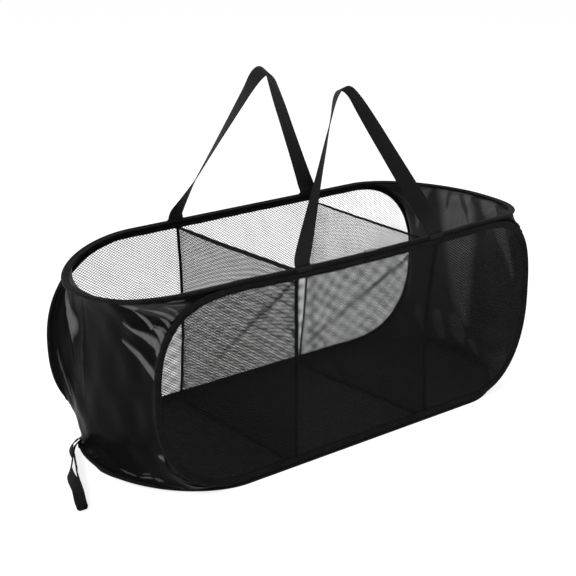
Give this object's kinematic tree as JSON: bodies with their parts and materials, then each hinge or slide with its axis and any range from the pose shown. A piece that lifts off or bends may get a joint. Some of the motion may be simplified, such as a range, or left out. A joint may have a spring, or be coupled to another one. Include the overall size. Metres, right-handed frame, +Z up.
{
  "type": "pop up laundry hamper",
  "caption": "Long see-through mesh laundry hamper on sprung wire loops, with dividers inside, webbing carry handles and an elastic closure loop; it folds flat.",
  "frame": {"origin": "on the ground under the middle of the floor panel", "axes": "+X along the hamper to its right end, +Y to its back, +Z up"},
  "size_m": [0.9381, 0.3486, 0.6025],
  "materials": {
    "spring_steel": "drawn spring-steel wire, satin",
    "binding_tape": "black woven polyester tape, matte",
    "mesh_fabric": "black knitted see-through mesh",
    "floor_cloth": "black woven cloth, slight sheen",
    "glossy_nylon": "black coated nylon, glossy and creased",
    "webbing": "black woven polyester webbing, matte",
    "elastic": "black braided elastic, matte"
  },
  "bodies": {
    "base": {"bottom_wire": "spring_steel", "bottom_wire_ferrule": "spring_steel", "bottom_binding": "binding_tape", "floor_panel": "floor_cloth", "left_end_panel": "glossy_nylon", "right_end_panel": "glossy_nylon", "left_divider_mesh": "mesh_fabric", "right_divider_mesh": "mesh_fabric", "left_divider_floor_seam": "binding_tape", "right_divider_floor_seam": "binding_tape", "closure_tab": "elastic"},
    "front_frame": {"front_wire": "spring_steel", "front_wire_ferrule": "spring_steel", "front_binding": "binding_tape", "front_mesh_panel": "mesh_fabric", "left_divider_front_seam": "binding_tape", "right_divider_front_seam": "binding_tape"},
    "back_frame": {"back_wire": "spring_steel", "back_wire_ferrule": "spring_steel", "back_binding": "binding_tape", "back_mesh_panel": "mesh_fabric", "left_divider_back_seam": "binding_tape", "right_divider_back_seam": "binding_tape"},
    "top_rim": {"top_wire": "spring_steel", "top_wire_ferrule": "spring_steel", "top_binding": "binding_tape", "left_divider_edge_tape": "binding_tape", "right_divider_edge_tape": "binding_tape", "front_handle_left_root": "webbing", "front_handle_right_root": "webbing", "back_handle_left_root": "webbing", "back_handle_right_root": "webbing"},
    "front_handle": {"front_handle": "webbing"},
    "back_handle": {"back_handle": "webbing"},
    "closure_loop": {"closure_loop": "elastic"}
  },
  "joints": [
    {"name": "front_fold", "type": "hinge", "parent": "base", "child": "front_frame", "pos_m": [0, -0.17, 0.0093], "axis": [1, 0, 0], "range_deg": [0, 85], "stiffness_Nm_per_rad": 0.8, "springref_deg": -34.38, "deforming": ["left_end_panel", "right_end_panel", "left_divider_mesh", "right_divider_mesh"]},
    {"name": "back_fold", "type": "hinge", "parent": "base", "child": "back_frame", "pos_m": [0, 0.17, 0.0093], "axis": [1, 0, 0], "range_deg": [0, 85]},
    {"name": "top_level", "type": "hinge", "parent": "front_frame", "child": "top_rim", "pos_m": [0, -0.17, 0.3353], "axis": [1, 0, 0], "range_deg": [-85, 0]},
    {"name": "front_handle_swing", "type": "hinge", "parent": "top_rim", "child": "front_handle", "pos_m": [0, -0.17, 0.3472], "axis": [1, 0, 0], "range_deg": [-58, 110]},
    {"name": "back_handle_swing", "type": "hinge", "parent": "top_rim", "child": "back_handle", "pos_m": [0, 0.17, 0.3472], "axis": [1, 0, 0], "range_deg": [-100, 42]},
    {"name": "closure_lift", "type": "hinge", "parent": "base", "child": "closure_loop", "pos_m": [-0.4095, 0.0989, 0.008], "axis": [-0.9001, 0.4358, 0], "range_deg": [0, 90]}
  ],
  "couplings": [
    {"joint": "back_fold", "follows": "front_fold", "ratio": 1},
    {"joint": "top_level", "follows": "front_fold", "ratio": -1}
  ]
}
